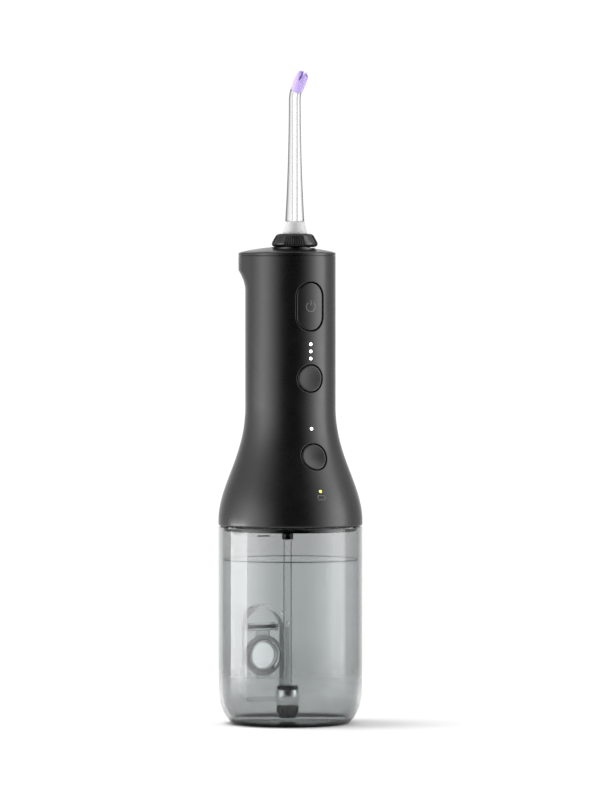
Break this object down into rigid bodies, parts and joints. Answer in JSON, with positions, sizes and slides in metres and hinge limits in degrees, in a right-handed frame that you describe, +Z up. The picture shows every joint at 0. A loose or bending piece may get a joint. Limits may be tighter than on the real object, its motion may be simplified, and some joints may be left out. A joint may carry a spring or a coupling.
{
  "type": "water flosser",
  "caption": "Cordless water flosser: a clear round water tank under a flared black handle with front push buttons and a thin bent nozzle on a turning collar.",
  "frame": {"origin": "centre of the tank's foot, on the surface the flosser stands on", "axes": "+Z up along the tank and handle; the buttons and the nozzle's bend face -Y, the lip and the fill port face +Y"},
  "size_m": [0.066, 0.066, 0.2995],
  "materials": {
    "clear_tank": "clear moulded plastic",
    "clear_nozzle": "clear moulded plastic",
    "matte_black": "soft-touch matte",
    "gloss_black": "polished",
    "black_rubber": "matte",
    "grey_silicone": "translucent silicone",
    "lilac_silicone": "soft silicone",
    "frosted_white": "frosted",
    "inner_plastic": "as moulded",
    "nylon": "as moulded",
    "bare_steel": "polished",
    "board_green": "solder mask",
    "cell_wrap": "shrink wrap"
  },
  "bodies": {
    "tank": {"reservoir": "clear_tank", "fill_cap_pin": "bare_steel"},
    "fill_cap": {"fill_cap": "grey_silicone"},
    "handle": {"handle_shell": "matte_black", "top_cover": "matte_black", "base_plate": "matte_black", "tank_seal": "black_rubber", "suction_hose": "grey_silicone", "weight_cap": "matte_black", "weight_sleeve": "bare_steel", "strainer": "matte_black", "intensity_light_guide": "frosted_white", "mode_light_guide": "frosted_white", "battery_light_guide": "frosted_white", "power_switch": "matte_black", "intensity_switch": "matte_black", "mode_switch": "matte_black", "control_board": "board_green", "nozzle_socket": "inner_plastic", "socket_seal": "black_rubber", "chassis": "inner_plastic", "motor": "bare_steel", "motor_screw_1": "bare_steel", "motor_screw_2": "bare_steel", "battery_cell": "cell_wrap", "gear_axle": "bare_steel", "pump_cylinder": "inner_plastic", "valve_block": "inner_plastic", "inlet_valve": "black_rubber", "outlet_valve": "black_rubber", "inlet_hose": "grey_silicone", "outlet_hose": "grey_silicone", "base_screw_1": "bare_steel", "base_screw_2": "bare_steel", "base_screw_3": "bare_steel", "charge_socket": "bare_steel"},
    "power_button": {"power_button": "matte_black"},
    "intensity_button": {"intensity_button": "matte_black"},
    "mode_button": {"mode_button": "matte_black"},
    "collar": {"nozzle_collar": "gloss_black"},
    "nozzle": {"nozzle_base": "frosted_white", "nozzle_shaft": "clear_nozzle", "nozzle_tip": "lilac_silicone"},
    "drive_gear": {"drive_gear": "nylon"},
    "motor_rotor": {"motor_shaft": "bare_steel", "motor_pinion": "nylon"},
    "piston": {"piston_yoke": "nylon"},
    "charge_cover": {"charge_cover": "black_rubber"}
  },
  "joints": [
    {"name": "handle_lift", "type": "slide", "parent": "tank", "child": "handle", "axis": [0, 0, 1], "range_m": [0, 0.095]},
    {"name": "fill_cap_hinge", "type": "hinge", "parent": "tank", "child": "fill_cap", "pos_m": [0, 0.0296, 0.0425], "axis": [1, 0, 0], "range_deg": [0, 110]},
    {"name": "power_press", "type": "slide", "parent": "handle", "child": "power_button", "axis": [0, 1, 0], "range_m": [0, 0.0008], "stiffness_N_per_m": 400},
    {"name": "intensity_press", "type": "slide", "parent": "handle", "child": "intensity_button", "axis": [0, 1, 0], "range_m": [0, 0.0008], "stiffness_N_per_m": 400},
    {"name": "mode_press", "type": "slide", "parent": "handle", "child": "mode_button", "axis": [0, 0.9479, -0.3187], "range_m": [0, 0.0008], "stiffness_N_per_m": 400},
    {"name": "collar_turn", "type": "hinge", "parent": "handle", "child": "collar", "pos_m": [0, -0.0044, 0.2179], "axis": [0, 0, 1], "continuous": true},
    {"name": "nozzle_pull", "type": "slide", "parent": "collar", "child": "nozzle", "axis": [0, 0, 1], "range_m": [0, 0.025]},
    {"name": "gear_spin", "type": "hinge", "parent": "handle", "child": "drive_gear", "pos_m": [0, -0.0068, 0.0995], "axis": [0, 0, 1], "continuous": true},
    {"name": "rotor_spin", "type": "hinge", "parent": "handle", "child": "motor_rotor", "pos_m": [0, 0.006, 0.0995], "axis": [0, 0, 1], "continuous": true},
    {"name": "piston_stroke", "type": "slide", "parent": "handle", "child": "piston", "axis": [1, 0, 0], "range_m": [-0.0012, 0.0012]},
    {"name": "charge_cover_hinge", "type": "hinge", "parent": "handle", "child": "charge_cover", "pos_m": [0, 0.0271, 0.1159], "axis": [1, 0, 0], "range_deg": [0, 110]}
  ],
  "couplings": [
    {"joint": "rotor_spin", "follows": "gear_spin", "ratio": -3}
  ]
}
